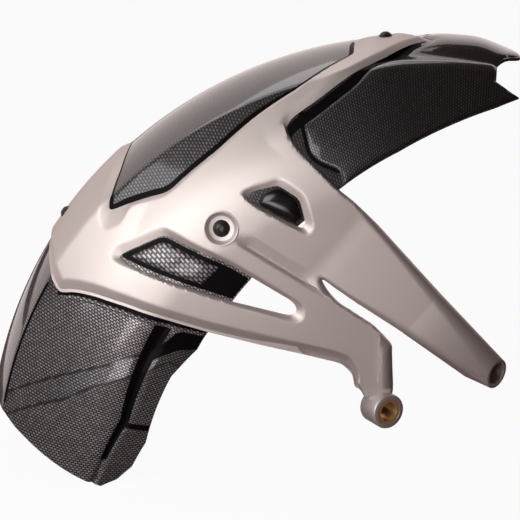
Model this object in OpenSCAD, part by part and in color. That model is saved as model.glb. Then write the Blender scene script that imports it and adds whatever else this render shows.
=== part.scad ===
// Rear hugger mudguard: a moulded shell over the tyre, held by a one-sided carrier with two arms.
// Millimetres. The origin is the centre of the bush in the lower arm, +Z up, +X towards the tail,
// -Y away from the wheel. The shell is the same on both sides of its middle plane.

/* [Crown line] */
// Radius of the crown line, seen from the side
arc_r = 348; // [330:1:365]
// Distance of the crown line's centre behind the bush
arc_x = 34.5; // [30:0.5:40]
// Depth of the crown line's centre below the bush
arc_drop = 80; // [74:1:86]
// Distance from the bush to the middle plane of the shell
mid_y = 98; // [92:1:104]

/* [Shell section] */
// Half width of the crown, up to its side creases
crown_half = 57; // [52:1:62]
// Radius across the crown
crown_rho = 150; // [130:1:200]
// Half width of the shell at its flanks
side_half = 97; // [90:1:104]
// Depth below the crown line at which the flank stands upright
bend_depth = 95; // [85:1:105]
// Thickness of the shell's wall
shell_t = 2.5; // [2:0.1:3]
// Depth of the tail's two grooves
groove_depth = 9; // [4:0.5:12]
// Height by which the shoulders beside the grooves rise at the tail
shoulder_rise = 3; // [1:0.5:4]
// Drop of the beak at the middle of the tail
beak_drop = 6.5; // [4:0.5:12]
// Height of the front panel beyond the flank's slanting creases
front_proud = 4; // [2:0.5:5]
// Lean of the skirt below the lip line, as its fall inwards by depth
skirt_slope = 0.22; // [0:0.02:0.3]

/* [Carrier] */
// Thickness of the carrier's skin over the shell
skin_t = 3; // [2.5:0.1:4]
// Clearance between the carrier and the shell
seat_gap = 0.3; // [0.2:0.05:0.5]
// Thickness of the arms
arm_t = 10; // [8:0.5:14]
// Depth of the recess round the side openings
rim_step = 1.2; // [0.6:0.1:1.6]
// Reach of the straps past the crown's middle
strap_reach = 16; // [13:0.5:20]

/* [Lower arm] */
// Outer diameter of the lower arm's collar
collar_od = 27; // [25:0.5:30]
// Length of the collar
collar_len = 20; // [17:0.5:24]
// Turn of the collar's axis from the wheel's axis towards the tail
collar_turn = 30; // [25:1:35]
// Outer diameter of the brass bush
bush_od = 19; // [18:0.25:21]
// Bore of the brass bush
bush_bore = 15; // [12:0.25:16]
// Clearance between the bush and its seat
bush_fit = 0.05; // [0.02:0.01:0.1]

/* [Upper arm] */
// Outer diameter of the upper arm's socket end
socket_od = 23.5; // [22:0.5:26]
// Bore of the socket
socket_bore = 17; // [14:0.5:18]
// Depth of the socket's bore
socket_depth = 24; // [18:1:28]
// Turn of the socket's axis towards the tail
socket_turn = 46; // [40:1:50]
// Dip of the socket's axis below the level
socket_dip = 7; // [0:1:12]

/* [Screws] */
// Diameter of the screws' shanks
screw_d = 6; // [5:0.5:6]
// Length of the screws' shanks below their heads
screw_len = 15; // [13:0.5:18]
// Diameter of the crown screws' domed heads
crown_head_d = 10.5; // [10:0.25:12]
// Height of the crown screws' heads
crown_head_h = 3.3; // [2.5:0.1:3.5]
// Diameter of the side screw's head
side_head_d = 13; // [12:0.25:14]
// Height of the side screw's head
side_head_h = 3.2; // [2.5:0.1:4]
// Diameter of the spot faces under the crown screws' heads
spot_d = 15; // [13:0.5:17]
// Depth of the spot faces below the straps' surface
spot_depth = 0.8; // [0.5:0.1:1.2]
// Width across flats of the screws' sockets
hex_af = 4; // [3:0.5:4]
// Clearance of the screw holes round the shanks
hole_fit = 0.5; // [0.3:0.05:0.7]
// Diameter of the side screw's counterbore
counterbore_d = 22.6; // [20:0.2:24]
// Depth of the side screw's counterbore
counterbore_depth = 1.6; // [1:0.1:1.8]
// Diameter of the nuts' flanges
nut_flange_d = 14; // [12:0.5:16]
// Thickness of the nuts' flanges
nut_flange_t = 1.5; // [1:0.1:2]
// Width across flats of the nuts
nut_af = 10; // [9:0.5:11]
// Height of the nuts above their flanges
nut_h = 5; // [4:0.5:6]
// Clearance between a nut's flat flange and the hollow side of the shell
nut_seat = 0.7; // [0.6:0.05:0.9]

/* [Hidden] */
$fn = 64;
pi = 3.14159265;

// Rows along the crown line, columns across the crown and down each flank of the shell
rows = 52;
crown_cols = 8;
flank_cols = 10;

// Angles about the crown line's centre, from the tail's side, at which the shell ends
tail_beak_angle = 77.4;
tail_groove_angle = 81.6;
tail_fin_angle = 78.3;
front_angle = 168.2;
// The front end leans with the depth below the crown
front_lean = 0.087;

// Depth of the flank's lower edge below the crown line, by angle
edge_by_angle = [[78.3, 26.5], [81.3, 35.3], [87.9, 50.8], [95, 67], [103, 82.3], [112.6, 101.2],
    [126.4, 121.4], [132.7, 126.7], [140.6, 131.2], [144.7, 133.3], [152, 127], [167, 127],
    [172.5, 119.7], [175.3, 109.1], [176.6, 97]];

// Where the screws sit
crown_front_angle = 95;
crown_rear_angle = 143.5;
side_screw_angle = 125.1;
side_screw_depth = 77;

// Derived sizes
crease_depth = crown_rho - sqrt(crown_rho * crown_rho - crown_half * crown_half);
skin_out = seat_gap + skin_t;
hole_d = screw_d + 2 * hole_fit;

function lerp(a, b, t) = a + (b - a) * t;
function clamp01(t) = min(1, max(0, t));
function ease(t) = let(u = clamp01(t)) u * u * (3 - 2 * u);

// Drop of the crown across its width, and half width of the flank by depth
function crown_drop(y) = crown_rho - sqrt(crown_rho * crown_rho - y * y);
function flank_t(d) = clamp01((d - crease_depth) / (bend_depth - crease_depth));
function flank_y(d) = crown_half + (side_half - crown_half) * sin(90 * flank_t(d));
function flank_slope(d) = (side_half - crown_half) * cos(90 * flank_t(d)) * pi / 2
    / (bend_depth - crease_depth);

// Unit vectors [outward along y, down] that stand out from the crown and the flank
function crown_normal(y) = [y / crown_rho, -sqrt(1 - pow(y / crown_rho, 2))];
function flank_normal(d) = let(s = flank_slope(d), n = sqrt(1 + s * s)) [1 / n, -s / n];
function crease_normal() =
    let(a = crown_normal(crown_half), b = flank_normal(crease_depth), m = a + b)
    m * 2 / (m * m);

// Section points [half width, depth], pushed out by h
function crown_point(y, h) = [y, crown_drop(y)]
    + h * (y < crown_half ? crown_normal(y) : crease_normal());
function flank_point(d, h) = [flank_y(d), d]
    + h * (d > crease_depth ? flank_normal(d) : crease_normal());

// A point at an angle along the crown line, a depth below it and a half width on one side
function at_arc(angle, depth, y) =
    [arc_x + (arc_r - depth) * cos(angle), mid_y + y, (arc_r - depth) * sin(angle) - arc_drop];

// The tail's relief across the crown: beak in the middle, groove, then shoulder
function tail_weight(angle) = ease((104 - angle) / 24);
function tail_relief(angle, y) =
    tail_weight(angle) * (groove_depth * exp(-pow((y - 36) / 12, 2))
        - shoulder_rise * ease((y - 44) / 10))
    + beak_drop * ease((84 - angle) / 7) * (1 - ease((y - 12) / 26));

function edge_depth(angle) = lookup(angle, edge_by_angle);

// The front flank: angles of its two slanting creases by depth, and depth of its lip line by angle
first_crease = [[11, 167], [19.4, 165.5], [53.3, 159.6], [76.6, 155.5], [100.8, 149.9], [120, 145.5]];
second_crease = [[11, 170.5], [20.7, 168.8], [59, 163.1], [79.5, 158.5], [103.1, 154.1], [120, 149.5]];
lip_line = [[138, 97], [144.1, 99.5], [163.2, 105.2], [173.1, 93.6], [178, 84]];
lip_start = 136;
function front_form(angle, d) =
    let(a = lookup(d, first_crease), b = lookup(d, second_crease))
    front_proud * ease((d - 12) / 30) * ease((angle - a) / (b - a))
    - skirt_slope * ease((angle - lip_start) / 6) * max(0, d - lookup(angle, lip_line));

// Where each column ends: v is 0 to 1 across the half crown, and 1 to 2 down the flank
function tail_angle(v) = v <= 1
    ? lerp(tail_beak_angle, tail_groove_angle, ease(v * crown_half / 40))
    : lerp(tail_groove_angle, tail_fin_angle, clamp01((v - 1.55) / 0.45));
function front_depth(v) = v <= 1 ? crown_drop(v * crown_half)
    : lerp(crease_depth, edge_by_angle[len(edge_by_angle) - 1][1], v - 1);
function row_angle(v, t) = lerp(front_angle + front_lean * front_depth(v), tail_angle(v), t);

// One point of the shell, t along the crown line from front to tail, u from -2 to 2 across it
function shell_point(t, u, h) =
    let(v = abs(u), side = u < 0 ? -1 : 1, angle = row_angle(v, t),
        low = edge_depth(row_angle(2, t)),
        d = lerp(crease_depth, low, v - 1),
        p = v <= 1 ? crown_point(v * crown_half, h)
                   : flank_point(d, h + front_form(angle, d)),
        relief = tail_relief(angle, min(p[0], crown_half)) * (1 - clamp01((v - 1) / 0.5)))
    at_arc(angle, p[1] + relief, side * p[0]);

cols_across = concat(
    [for (k = [flank_cols : -1 : 1]) -1 - k / flank_cols],
    [for (k = [-crown_cols : crown_cols]) k / crown_cols],
    [for (k = [1 : flank_cols]) 1 + k / flank_cols]);

// A closed wall between two grids of points of the same size
module wall_between(outer, inner) {
    n = len(outer[0]);
    m = len(outer);
    base = n * m;
    points = concat([for (row = outer) each row], [for (row = inner) each row]);
    faces = concat(
        [for (i = [0 : m - 2], j = [0 : n - 2], f = [0, 1])
            let(a = i * n + j, b = a + 1, c = a + n, d = c + 1) f == 0 ? [a, c, b] : [b, c, d]],
        [for (i = [0 : m - 2], j = [0 : n - 2], f = [0, 1])
            let(a = base + i * n + j, b = a + 1, c = a + n, d = c + 1) f == 0 ? [a, b, c] : [b, d, c]],
        [for (j = [0 : n - 2], f = [0, 1])
            let(a = j, b = j + 1, c = base + j, d = base + j + 1) f == 0 ? [a, b, c] : [b, d, c]],
        [for (j = [0 : n - 2], f = [0, 1])
            let(a = (m - 1) * n + j, b = a + 1, c = base + a, d = base + b)
                f == 0 ? [a, c, b] : [b, c, d]],
        [for (i = [0 : m - 2], f = [0, 1])
            let(a = i * n, b = a + n, c = base + a, d = base + b) f == 0 ? [a, c, b] : [b, c, d]],
        [for (i = [0 : m - 2], f = [0, 1])
            let(a = i * n + n - 1, b = a + n, c = base + a, d = base + b)
                f == 0 ? [a, b, c] : [b, d, c]]);
    polyhedron(points = points, faces = faces, convexity = 8);
}

// Places children with +Z standing out of the crown's middle, or out of the near flank
module on_crown(angle) {
    translate(at_arc(angle, 0, 0)) rotate([0, 90 - angle, 0]) children();
}
module on_flank(angle, depth) {
    n = flank_normal(depth);
    translate(at_arc(angle, depth, -flank_y(depth)))
        rotate([0, 90 - angle, 0]) rotate([acos(-n[1]), 0, 0]) children();
}
module screw_places() {
    on_crown(crown_front_angle) children();
    on_crown(crown_rear_angle) children();
    on_flank(side_screw_angle, side_screw_depth) children();
}

module mudguard_shell() {
    color([0.09, 0.08, 0.09]) difference() {
        wall_between([for (i = [0 : rows]) [for (u = cols_across) shell_point(i / rows, u, 0)]],
            [for (i = [0 : rows]) [for (u = cols_across) shell_point(i / rows, u, -shell_t)]]);
        screw_places() cylinder(h = 30, d = hole_d, center = true);
    }
}

// The carrier's outlines are drawn for a crown line of this radius; they grow and shrink with it about
// its centre, but for what lies at the bush
drawn_r = 348;
arc_scale = arc_r / drawn_r;
arc_centre = [arc_x, -arc_drop];
bush_zone = 20;
fade_zone = 60;
function to_arc(p) =
    p + (p - arc_centre) * (arc_scale - 1) * clamp01((norm(p) - bush_zone) / fade_zone);
function to_arc_x(p) = [arc_x + (p[0] - arc_x) * arc_scale, p[1]];
function arc_height(z) = (z + arc_drop) * arc_scale - arc_drop;

// Outline of the whole carrier seen from the side; over the crown it is left open for the straps
carrier_outline = [[-268, 117], [-261, 109], [-259, 101], [-253, 90], [-249, 84], [-235, 86],
    [-219, 85.4], [-194, 80], [-133, 61], [-93, 51], [-62, 43.5], [-32, 36], [-23, 27], [-17, 14],
    [-12, -6], [0, -8], [10, 4], [7, 45], [7, 51.5], [-7, 67], [-25, 79], [-37, 87.5], [-48, 104],
    [-22, 162], [-37, 174], [-50, 187], [-65, 200.5], [-73, 214], [-71.5, 219],
    [60, 219], [60, 300], [-268, 300]];

// Plan outlines, x and distance from the middle plane, of what is cut away beside the straps
lens_plan = [[3.7, 60], [3.7, 16], [-10, 13], [-18, 4], [-21, -8], [-22.5, -32], [-63, -60.7],
    [-93, -66.2], [-126.5, -73.6], [-163, -77], [-207.3, -64.7], [-213.6, -61.6], [-202, -36.3],
    [-197, 0], [-196, 60]];
tail_plan = [[3.7, 60], [3.7, 16], [16, 13], [24, 4], [26, -8], [22.8, -21.5], [1.7, -43],
    [-23.7, -60], [-50, -69], [-71.5, -74.2], [-71.5, -140], [140, -140], [140, 60]];

// Openings in the carrier's side, each with the outer edge of the recess round it
slot_outline = [[-200.5, 116], [-196.5, 119.8], [-167.5, 134.6], [-161.5, 134.6], [-115, 114.2],
    [-69, 85.6], [-65.3, 80.5], [-66.3, 76], [-70.5, 74.2], [-115, 85.6], [-176, 106], [-197, 113]];
slot_rim = [[-206.2, 117], [-201.5, 124], [-167.2, 140.7], [-163, 140.8], [-115.2, 118.7], [-65.9, 88.6],
    [-61.4, 84], [-59.1, 78.7], [-60.2, 72.4], [-65.8, 69], [-115.3, 83], [-175.2, 103.4], [-195.1, 109.8],
    [-205.5, 112.4]];
eye_outline = [[-103.5, 167.3], [-101, 169.7], [-81, 175], [-77.5, 173.8], [-64, 165], [-59.3, 147.5],
    [-60.5, 142.6], [-64.5, 143.4], [-93, 158.3], [-102.5, 164.3]];
eye_rim = [[-107.5, 167.7], [-105, 171.8], [-92.9, 176.6], [-80.3, 181.2], [-74.4, 179.3], [-59.7, 169.2],
    [-52.1, 144.2], [-57.3, 137.3], [-65.8, 140.9], [-94, 155.8], [-105.5, 163.8]];
// The falling face along the lower edge, and the valley from the side screw to the fork of the arms
low_face = [[-270, 92], [-250.1, 91.7], [-237.1, 94.7], [-221, 93.7], [-194.5, 88.8], [-132.8, 71.5],
    [-92.9, 60.4], [-62, 52.4], [-31.7, 45.2], [-24.1, 38], [-17.1, 29.9], [-14.5, 20], [-40, 0],
    [-270, 40]];
valley = [[-105, 141.5], [-85.5, 129.6], [-48.2, 105.4], [-40, 88], [-85.5, 118.3], [-107, 131.5]];

// Heights between which the plan outlines cut, and how far a cut from the side starts outside it
lens_low = 120;
tail_low = 217;
over_crown = 320;
cut_from = side_half + 30;

// Stands a side view outline up between two distances from the middle plane, near side negative
module side_extrude(points, y0, y1) {
    translate([0, mid_y + y1, 0]) rotate([90, 0, 0]) linear_extrude(height = y1 - y0)
        polygon([for (p = points) to_arc(p)]);
}
module plan_extrude(points, z0, z1) {
    translate([0, mid_y, arc_height(z0)]) linear_extrude(height = z1 - z0)
        polygon([for (p = points) to_arc_x(p)]);
}

// Section of the carrier's skin as [radius, distance on the near side], swept about the arc's centre
skin_low = 195;
function skin_profile(h) = concat(
    [for (y = [-20, -12, -4, 4, 12, 20, 30, 40, 50]) let(p = crown_point(abs(y), h))
        [arc_r - p[1], y < 0 ? -p[0] : p[0]]],
    [for (d = [0 : 8]) let(p = flank_point(lerp(crease_depth, bend_depth, d / 8), h))
        [arc_r - p[1], p[0]]],
    [[arc_r - skin_low, side_half + h]]);
module carrier_skin(low, high) {
    inner = skin_profile(low);
    outer = skin_profile(high);
    translate([arc_x, mid_y, -arc_drop]) rotate([90, 0, 0]) rotate([0, 0, 80])
        rotate_extrude(angle = 80, $fn = 96)
            polygon(concat(outer, [for (i = [len(inner) - 1 : -1 : 0]) inner[i]]));
}

// Directions of the two arm ends
module collar_frame() {
    rotate([0, 0, collar_turn]) rotate([90, 0, 0]) children();
}
socket_place = [86, -8, 30.5];
module socket_frame() {
    translate(socket_place) rotate([0, 0, socket_turn]) rotate([90 + socket_dip, 0, 0]) children();
}

// The thick parts of the arms lie clear of the shell's lower edge
near_face = -side_half - skin_out;
upper_root = [[-35, 168], [-22, 162], [-48, 104], [-50, 92], [-66, 112]];
upper_start = [[-22, 162], [-48, 104], [-44, 101.5], [-14, 153.8]];
lower_root = [[-62, 43.5], [-32, 36], [-23, 27], [-17, 14], [-12, -6], [0, -8], [10, 4], [7, 45],
    [7, 51.5], [-7, 67], [-25, 79], [-37, 87.5], [-48, 104], [-58, 100], [-66, 66], [-100, 76], [-108, 55]];

module side_carrier() {
    color([0.82, 0.79, 0.78]) difference() {
        union() {
            intersection() {
                carrier_skin(seat_gap, skin_out);
                difference() {
                    side_extrude(carrier_outline, -cut_from, strap_reach);
                    plan_extrude(lens_plan, lens_low, over_crown);
                    plan_extrude(tail_plan, tail_low, over_crown);
                }
            }
            side_extrude(lower_root, near_face, near_face + arm_t);
            side_extrude(upper_root, near_face, near_face + arm_t);
            collar_frame() cylinder(h = collar_len, d = collar_od, center = true);
        }
        side_extrude(slot_outline, -cut_from, 0);
        side_extrude(eye_outline, -cut_from, 0);
        intersection() {
            carrier_skin(skin_out - rim_step, skin_out + 5);
            union() {
                side_extrude(slot_rim, -cut_from, 0);
                side_extrude(eye_rim, -cut_from, 0);
                side_extrude(low_face, -cut_from, 0);
                side_extrude(valley, -cut_from, 0);
            }
        }
        screw_places() cylinder(h = 30, d = hole_d, center = true);
        on_flank(side_screw_angle, side_screw_depth)
            translate([0, 0, skin_out - counterbore_depth]) cylinder(h = 20, d = counterbore_d);
        for (angle = [crown_front_angle, crown_rear_angle]) on_crown(angle)
            translate([0, 0, skin_out - spot_depth]) cylinder(h = 20, d = spot_d);
        collar_frame() cylinder(h = collar_len + 2, d = bush_od + 2 * bush_fit, center = true);
    }
}

// The upper arm goes on from the carrier's edge to a round end with a blind socket
module upper_arm() {
    color([0.82, 0.79, 0.78]) difference() {
        hull() {
            side_extrude(upper_start, near_face, near_face + arm_t);
            socket_frame() translate([0, 0, -socket_depth - 2])
                cylinder(h = socket_depth + 2, d = socket_od, $fn = 32);
        }
        socket_frame() translate([0, 0, -socket_depth]) cylinder(h = socket_depth + 5, d = socket_bore);
    }
}

module lower_arm_bush() {
    color([0.78, 0.60, 0.38]) collar_frame() difference() {
        cylinder(h = collar_len, d = bush_od, center = true);
        cylinder(h = collar_len + 2, d = bush_bore, center = true);
    }
}

// A domed screw head and its shank, standing on z = 0 of its place
module screw(head_d, head_h) {
    dome_r = (head_d * head_d / 4 + head_h * head_h) / (2 * head_h);
    difference() {
        union() {
            intersection() {
                translate([0, 0, head_h - dome_r]) sphere(r = dome_r);
                cylinder(h = head_h, d = head_d);
            }
            translate([0, 0, -screw_len]) cylinder(h = screw_len + 0.1, d = screw_d);
        }
        translate([0, 0, head_h / 2]) cylinder(h = head_h, d = hex_af / cos(30), $fn = 6);
    }
}
// A flanged nut whose flange meets the inside of the shell
module flange_nut() {
    translate([0, 0, -shell_t - nut_flange_t - nut_seat]) difference() {
        union() {
            cylinder(h = nut_flange_t, d = nut_flange_d);
            translate([0, 0, -nut_h]) cylinder(h = nut_h + 0.1, d = nut_af / cos(30), $fn = 6);
        }
        translate([0, 0, -nut_h - 1]) cylinder(h = nut_h + nut_flange_t + 2, d = screw_d + 0.1);
    }
}

module crown_screw_front() {
    color([0.12, 0.12, 0.12]) on_crown(crown_front_angle) translate([0, 0, skin_out - spot_depth])
        screw(crown_head_d, crown_head_h);
}
module crown_screw_rear() {
    color([0.12, 0.12, 0.12]) on_crown(crown_rear_angle) translate([0, 0, skin_out - spot_depth])
        screw(crown_head_d, crown_head_h);
}
module side_screw() {
    color([0.12, 0.12, 0.12]) on_flank(side_screw_angle, side_screw_depth)
        translate([0, 0, skin_out - counterbore_depth]) screw(side_head_d, side_head_h);
}
module crown_nut_front() {
    color([0.5, 0.5, 0.5]) on_crown(crown_front_angle) flange_nut();
}
module crown_nut_rear() {
    color([0.5, 0.5, 0.5]) on_crown(crown_rear_angle) flange_nut();
}
module side_nut() {
    color([0.5, 0.5, 0.5]) on_flank(side_screw_angle, side_screw_depth) flange_nut();
}

mudguard_shell();
side_carrier();
upper_arm();
lower_arm_bush();
crown_screw_front();
crown_screw_rear();
side_screw();
crown_nut_front();
crown_nut_rear();
side_nut();
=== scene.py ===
import math

import bmesh
import bpy
import numpy as np
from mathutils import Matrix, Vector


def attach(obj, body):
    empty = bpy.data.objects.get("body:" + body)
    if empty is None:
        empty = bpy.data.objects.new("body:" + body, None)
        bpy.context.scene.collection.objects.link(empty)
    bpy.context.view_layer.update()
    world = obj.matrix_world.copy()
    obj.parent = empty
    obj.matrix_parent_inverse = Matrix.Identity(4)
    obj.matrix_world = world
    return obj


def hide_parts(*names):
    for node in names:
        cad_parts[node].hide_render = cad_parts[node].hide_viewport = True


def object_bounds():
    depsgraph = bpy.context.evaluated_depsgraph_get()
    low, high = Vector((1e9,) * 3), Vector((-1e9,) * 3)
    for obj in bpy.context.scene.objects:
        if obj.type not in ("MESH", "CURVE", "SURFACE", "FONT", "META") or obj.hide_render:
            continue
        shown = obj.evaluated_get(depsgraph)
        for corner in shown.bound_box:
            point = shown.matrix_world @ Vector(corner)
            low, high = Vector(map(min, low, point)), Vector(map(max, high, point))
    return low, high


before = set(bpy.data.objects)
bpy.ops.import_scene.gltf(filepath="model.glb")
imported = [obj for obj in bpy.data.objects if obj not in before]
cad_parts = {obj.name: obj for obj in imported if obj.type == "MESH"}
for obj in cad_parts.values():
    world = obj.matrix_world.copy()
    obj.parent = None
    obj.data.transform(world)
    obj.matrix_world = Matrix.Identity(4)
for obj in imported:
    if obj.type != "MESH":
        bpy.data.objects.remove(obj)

solid_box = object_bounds()

# The studio: the camera a little above the mudguard and facing its near side; a floor, a wall behind,
# a wall on the left and a low sheet beside the front, all of white card; and four soft lamps, of which
# the one on the left does most of the work.
camera_data = bpy.data.cameras.new("camera")
camera_data.sensor_width = 36.0
camera_data.lens = 129.8
camera = bpy.data.objects.new("camera", camera_data)
camera.location = (-0.0929, -1.3363, 0.5266)
camera.rotation_euler = (math.radians(73.0), 0.0, 0.0)
bpy.context.scene.collection.objects.link(camera)
bpy.context.scene.camera = camera
bpy.context.scene.view_settings.view_transform = "Standard"


def linear(hexcode):
    """sRGB hex to linear colour: below 0.04045 divide by 12.92, else ((c + 0.055) / 1.055) ^ 2.4."""
    c = np.array([int(hexcode[i:i + 2], 16) for i in (1, 3, 5)]) / 255.0
    c = np.where(c <= 0.04045, c / 12.92, ((c + 0.055) / 1.055) ** 2.4)
    return (*c.tolist(), 1.0)


def add_node(tree, kind, links=(), **settings):
    """Adds one shader node: links are (socket, source socket) pairs, settings its other values."""
    node = tree.nodes.new(kind)
    for key, value in settings.items():
        if hasattr(node, key):
            setattr(node, key, value)
        else:
            node.inputs[key.replace("_", " ")].default_value = value
    for socket, source in links:
        tree.links.new(source, node.inputs[socket])
    return node


def make_mesh(name, points_mm, faces, smooth_angle=35.0, threads=None, dot_light_level=1.0):
    """Mesh object from points in millimetres and an array of triangles, smooth but for folds; threads
    gives each point's place in the weave, in metres across and along, and the last argument how bright
    the weave's dots are painted there: painted sheen and shade on the printed weave."""
    mesh = bpy.data.meshes.new(name)
    points = np.asarray(points_mm, dtype=np.float32) * 0.001
    faces = np.asarray(faces, dtype=np.int32)
    mesh.vertices.add(len(points))
    mesh.vertices.foreach_set("co", points.ravel())
    mesh.loops.add(faces.size)
    mesh.loops.foreach_set("vertex_index", faces.ravel())
    mesh.polygons.add(len(faces))
    mesh.polygons.foreach_set("loop_start", np.arange(0, faces.size, faces.shape[1], dtype=np.int32))
    mesh.update(calc_edges=True)
    if threads is not None:
        layer = mesh.uv_layers.new(name="threads")
        layer.data.foreach_set("uv", np.asarray(threads, dtype=np.float32)[faces.ravel()].ravel())
        dot_light = mesh.attributes.new("thread_dot_light_level", "FLOAT", "POINT")
        dot_light_level = np.broadcast_to(np.float32(dot_light_level), len(points)).astype(np.float32)
        dot_light.data.foreach_set("value", dot_light_level)
    mesh.polygons.foreach_set("use_smooth", np.ones(len(mesh.polygons), dtype=bool))
    mesh.set_sharp_from_angle(angle=math.radians(smooth_angle))
    thing = bpy.data.objects.new(name, mesh)
    bpy.context.scene.collection.objects.link(thing)
    return thing


floor_z = solid_box[0][2] * 1000.0 - 0.5
side_x, back_y, top_z, low_z, card_z = -2300, 2500, 4000, floor_z - 1000, floor_z + 2
floor = make_mesh("floor", [(-4000, -3000, floor_z), (4000, -3000, floor_z), (4000, back_y, floor_z),
                            (-4000, back_y, floor_z)], [(0, 1, 2, 3)])
wall = make_mesh("wall", [(-4000, back_y, low_z), (4000, back_y, low_z), (4000, back_y, top_z),
                          (-4000, back_y, top_z)], [(0, 1, 2, 3)])
side_wall = make_mesh("side_wall", [(side_x, -300, low_z), (side_x, back_y, low_z),
                                    (side_x, back_y, top_z), (side_x, -300, top_z)], [(0, 1, 2, 3)])
low_card = make_mesh("low_card", [(-1400, 80, card_z), (-450, 80, card_z), (-500, 1000, card_z),
                                  (-1400, 1000, card_z)], [(0, 1, 2, 3)])

# White card: the lamps light it as a matt pale sheet, and the camera and the mudguard's gloss see it
# plain white. The floor glows a little less and keeps some of the mudguard's shadow.
floor_glow = 0.95
for sheet, name in ((floor, "white_floor_card"), (wall, "white_wall_card"),
                    (side_wall, "white_side_card"), (low_card, "white_low_card")):
    card = bpy.data.materials.new(name)
    card.use_nodes = True
    tree = card.node_tree
    tree.nodes.clear()
    path = add_node(tree, "ShaderNodeLightPath")
    tint = add_node(tree, "ShaderNodeMixRGB", [("Fac", path.outputs["Is Camera Ray"])],
                    Color1=linear("#82696a"), Color2=linear("#f4f3f1"))
    diffuse = add_node(tree, "ShaderNodeBsdfDiffuse", [("Color", tint.outputs[0])])
    glow = add_node(tree, "ShaderNodeMixRGB", [("Fac", path.outputs["Is Camera Ray"])],
                    Color1=linear("#fff1ed"), Color2=linear("#ffffff"))
    glow = add_node(tree, "ShaderNodeEmission", [("Color", glow.outputs[0])], Strength=1.0)
    seen = add_node(tree, "ShaderNodeMath", [(0, path.outputs["Is Camera Ray"]),
                                             (1, path.outputs["Is Glossy Ray"])], operation="MAXIMUM")
    seen = add_node(tree, "ShaderNodeMath", [(0, seen.outputs[0]),
                                             (1, path.outputs["Is Transmission Ray"])], operation="MAXIMUM")
    if name == "white_floor_card":
        seen = add_node(tree, "ShaderNodeMath", [(0, path.outputs["Is Camera Ray"])], operation="MULTIPLY")
        seen.inputs[1].default_value = floor_glow
    mixed = add_node(tree, "ShaderNodeMixShader", [(0, seen.outputs[0]), (1, diffuse.outputs[0]),
                                                   (2, glow.outputs[0])])
    add_node(tree, "ShaderNodeOutputMaterial", [("Surface", mixed.outputs[0])])
    sheet.data.materials.append(card)

world = bpy.data.worlds.new("studio_air")
bpy.context.scene.world = world
world.use_nodes = True
world.node_tree.nodes["Background"].inputs["Color"].default_value = linear("#ffdcd6")
world.node_tree.nodes["Background"].inputs["Strength"].default_value = 0.09


def soft_lamp(name, place, aim, width, height, power):
    """Area lamp of a width and height in metres at place, turned to shine towards aim."""
    data = bpy.data.lights.new(name, "AREA")
    data.shape = "RECTANGLE"
    data.size = width
    data.size_y = height
    data.energy = power
    lamp = bpy.data.objects.new(name, data)
    way = np.subtract(aim, place)
    lamp.location = place
    flat = math.hypot(way[0], way[1])
    lamp.rotation_euler = (math.atan2(flat, -way[2]), 0.0, math.atan2(-way[0], way[1]))
    bpy.context.scene.collection.objects.link(lamp)
    return lamp


soft_lamp("lamp_left", (-0.85, -0.75, 0.55), (-0.2, 0.05, 0.08), 0.88, 0.7, 10.8)
soft_lamp("lamp_over_crown", (-0.35, 0.45, 1.1), (-0.1, 0.1, 0.2), 0.9, 0.7, 2.4)
soft_lamp("lamp_front", (0.2, -1.9, 0.8), (-0.05, 0.0, 0.1), 1.0, 1.0, 0.35)
soft_lamp("lamp_low_left", (-0.38, -0.72, -0.02), (-0.18, 0.0, 0.06), 0.35, 0.3, 2.3)

# The shell: one moulding with a wall of 2.5 mm that follows the tyre from the swingarm to the tail,
# gloss black with a fine woven pattern under its clear coat. Its crown line is an arc of radius arc_r
# about (arc_x, arc_z), and its section is a shallow crown, a crease on each side and bent flanks.
arc_r, arc_x, arc_z, mid_y = 348.0, 34.5, -80.0, 98.0
crown_half, crown_rho, side_half, bend_depth = 57.0, 150.0, 97.0, 95.0
shell_t, groove_depth, shoulder_rise, beak_drop, facet_rise = 2.5, 9.0, 3.0, 6.5, 2.4
front_phi, front_lean, front_depth, tail_phi = 168.2, 0.087, 97.0, 78.3
crease_depth = crown_rho - math.sqrt(crown_rho ** 2 - crown_half ** 2)
edge_by_angle = np.array([[78.3, 26.5], [81.3, 35.3], [87.9, 50.8], [95, 67], [103, 82.3], [112.6, 101.2],
                          [126.4, 121.4], [132.7, 126.7], [140.6, 131.2], [144.7, 133.3], [152, 127],
                          [167, 127], [172.5, 119.7], [175.3, 109.1], [176.6, 97]])


def ease(t):
    """Smooth step: 3 t squared minus 2 t cubed, with t held between 0 and 1."""
    t = np.clip(t, 0.0, 1.0)
    return t * t * (3.0 - 2.0 * t)


def half_section(rounding):
    """Half section of the shell by length s from its middle: circle of crown_rho, then a quarter
    sine down the flank, then upright; the crease is rounded by a running mean of rounding mm.
    Gives s, half width, depth, and the unit normal (out, down)."""
    step_mm = 0.25
    y1 = np.linspace(0.0, crown_half, 600)
    t = np.linspace(0.0, 1.0, 900)[1:]
    y = np.r_[y1, crown_half + (side_half - crown_half) * np.sin(0.5 * np.pi * t), np.full(700, side_half)]
    d = np.r_[crown_rho - np.sqrt(crown_rho ** 2 - y1 ** 2),
              crease_depth + (bend_depth - crease_depth) * t, np.linspace(bend_depth, 340.0, 701)[1:]]
    length = np.r_[0.0, np.cumsum(np.hypot(np.diff(y), np.diff(d)))]
    s = np.arange(0.0, length[-1], step_mm)
    y, d = np.interp(s, length, y), np.interp(s, length, d)
    n = int(rounding / step_mm)
    kernel = np.hanning(2 * n + 3)
    kernel /= kernel.sum()
    pad = n + 1
    y = np.convolve(np.r_[-y[pad:0:-1], y, y[-1] + 0 * y[:pad]], kernel, "valid")
    d_end = d[-1] + step_mm * np.arange(1, pad + 1)
    d = np.convolve(np.r_[d[pad:0:-1], d, d_end], kernel, "valid")
    ty, td = np.gradient(y), np.gradient(d)
    size = np.hypot(ty, td)
    return s, y, d, td / size, -ty / size


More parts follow.
